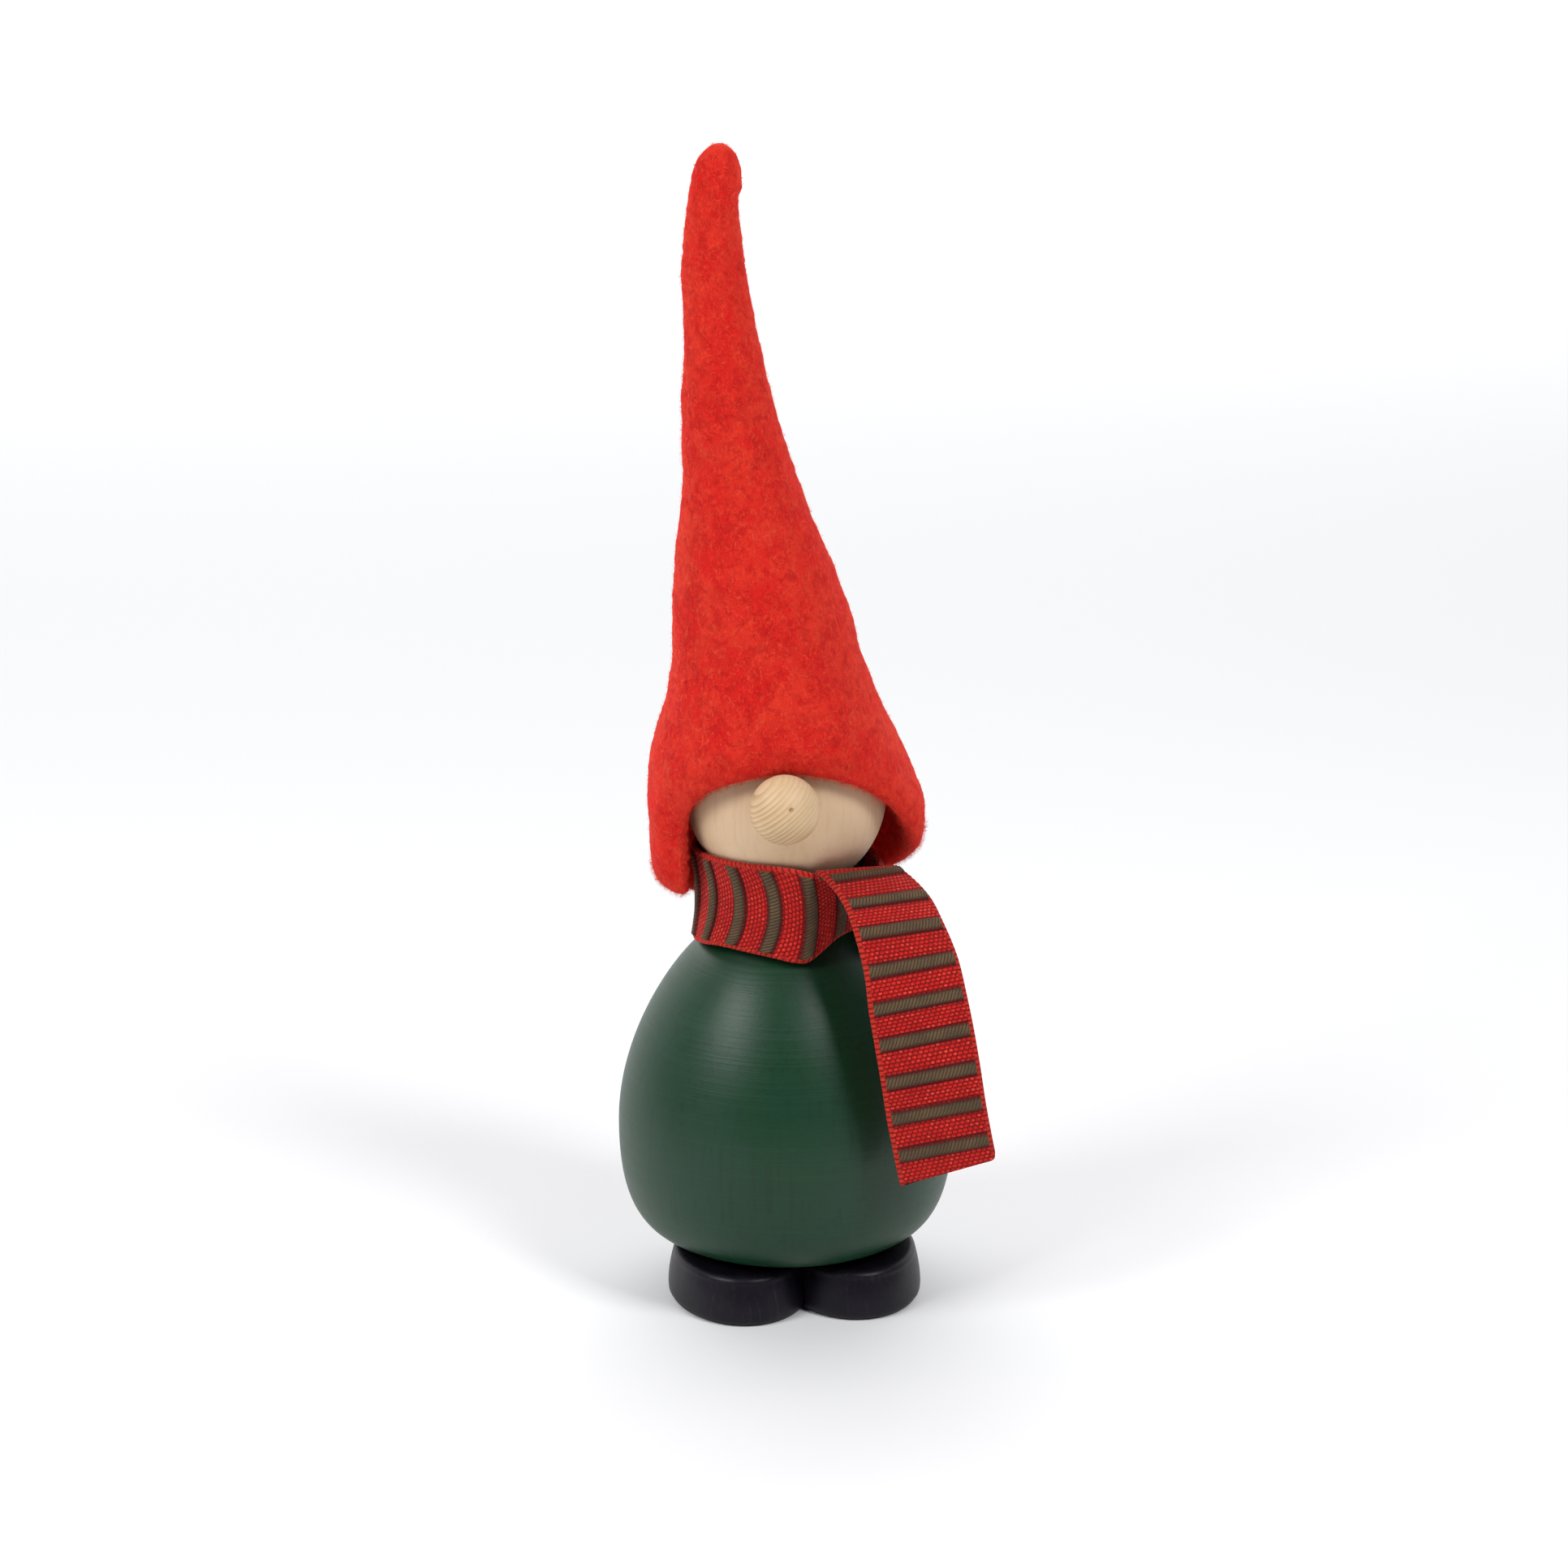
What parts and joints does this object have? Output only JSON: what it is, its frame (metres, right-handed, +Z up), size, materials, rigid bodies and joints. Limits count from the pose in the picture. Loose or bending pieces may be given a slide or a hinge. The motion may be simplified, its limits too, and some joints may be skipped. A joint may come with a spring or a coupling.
{
  "type": "gnome figurine",
  "caption": "Standing Nordic gnome figurine of turned wood: green egg body, bare ball head and nose, black feet, tall red felt hat and a striped ribbon scarf.",
  "frame": {"origin": "on the table under the axis of the turned body, close to where the undersides of the two feet meet", "axes": "+Z up along the figure's height, the face looks along -Y, +X to the figure's own left"},
  "size_m": [0.0537, 0.0559, 0.1763],
  "materials": {
    "green_wood": "satin",
    "bare_wood": "matte",
    "black_wood": "satin",
    "red_felt": "matte",
    "red_thread": "matte",
    "striped_ribbon": "matte"
  },
  "bodies": {
    "figure": {"body": "green_wood", "right_foot": "black_wood", "left_foot": "black_wood", "right_foot_dowel": "bare_wood", "left_foot_dowel": "bare_wood", "neck_dowel": "bare_wood", "scarf": "striped_ribbon"},
    "head": {"head": "bare_wood", "nose": "bare_wood", "nose_dowel": "bare_wood", "hat_felt": "red_felt", "hat_thread": "red_thread"}
  },
  "joints": [
    {"name": "head_turn", "type": "hinge", "parent": "figure", "child": "head", "pos_m": [0, 0, 0.0635], "axis": [0, 0, 1], "range_deg": [-20, 60]}
  ]
}
